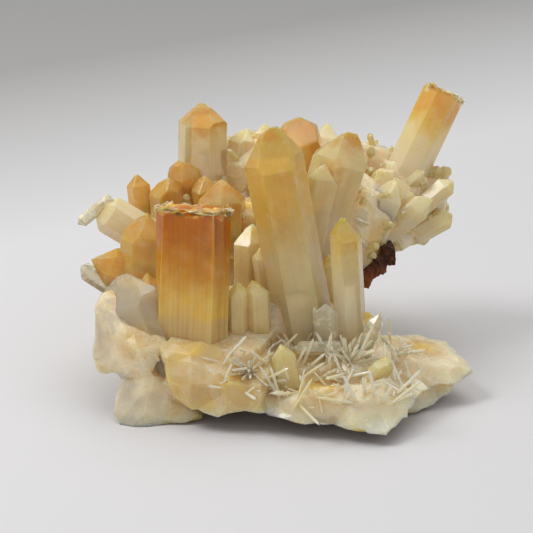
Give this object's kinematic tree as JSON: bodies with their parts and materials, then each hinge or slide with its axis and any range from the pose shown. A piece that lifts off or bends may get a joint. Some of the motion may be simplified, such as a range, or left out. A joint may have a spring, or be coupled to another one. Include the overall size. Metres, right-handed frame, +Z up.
{
  "type": "mango quartz cluster",
  "caption": "Natural cluster of orange-tipped quartz prisms grown together on a milky base, with clear needles over its low front and a high, overhanging back.",
  "frame": {"origin": "on the surface it rests on, under the middle of its bounding box", "axes": "+X to the right as the picture shows it, along its length; +Y to the back, where it is high; +Z up"},
  "size_m": [0.0984, 0.0898, 0.0671],
  "materials": {
    "mango_quartz": "translucent milky quartz, orange towards the tips, with glassy faces and frosted, striated sides",
    "host_rock": "dull, rough, iron-stained brown rock crust"
  },
  "bodies": {
    "root": {"quartz_cluster": "mango_quartz", "host_rock": "host_rock"}
  },
  "joints": []
}
